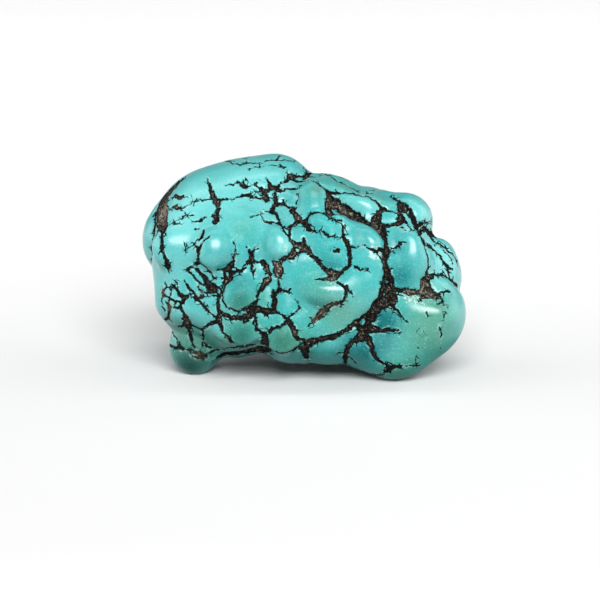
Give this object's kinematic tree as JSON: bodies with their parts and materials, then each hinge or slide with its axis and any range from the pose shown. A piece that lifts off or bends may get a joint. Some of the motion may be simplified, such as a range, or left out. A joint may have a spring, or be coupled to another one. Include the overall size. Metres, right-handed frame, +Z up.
{
  "type": "turquoise nugget",
  "caption": "Polished turquoise nugget with rounded lobes and a web of dark matrix veins, resting on worn flats.",
  "frame": {"origin": "centre of the stone's bounding box, on the surface that it rests on", "axes": "+X along the stone's longest extent, +Y towards its plain back, +Z up"},
  "size_m": [0.0487, 0.0302, 0.0316],
  "materials": {
    "turquoise": "polished blue-green stone with rough dark brown matrix in its veins"
  },
  "bodies": {
    "root": {"nugget": "turquoise"}
  },
  "joints": []
}
